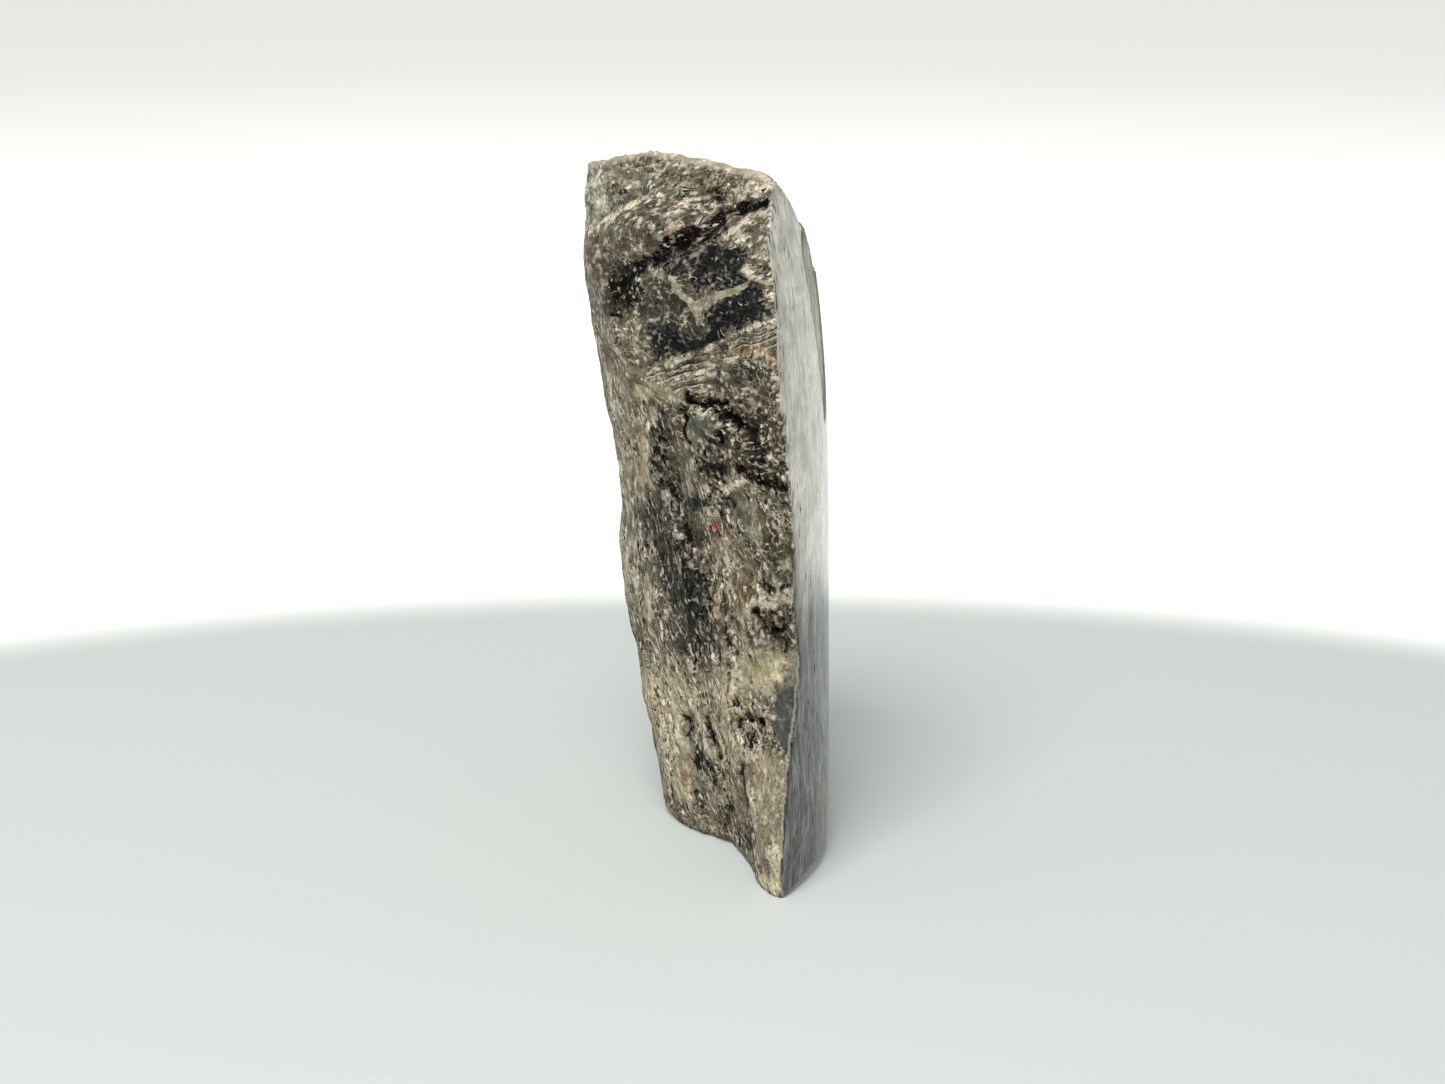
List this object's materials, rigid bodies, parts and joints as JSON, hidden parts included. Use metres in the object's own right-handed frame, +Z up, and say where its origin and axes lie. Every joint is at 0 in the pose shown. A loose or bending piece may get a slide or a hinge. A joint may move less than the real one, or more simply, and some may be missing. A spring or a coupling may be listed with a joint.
{
  "type": "labradorite freeform",
  "caption": "Upright labradorite freeform, a rough natural slab with one ground and polished domed face, standing on its flat sawn foot.",
  "frame": {"origin": "middle of the bounding box at the surface the stone stands on", "axes": "+Z up the stone, +X out of the polished domed face, -Y towards the narrow toe"},
  "size_m": [0.0414, 0.0658, 0.1172],
  "materials": {
    "labradorite": "rough broken rock with one polished face"
  },
  "bodies": {
    "root": {"stone": "labradorite"}
  },
  "joints": []
}
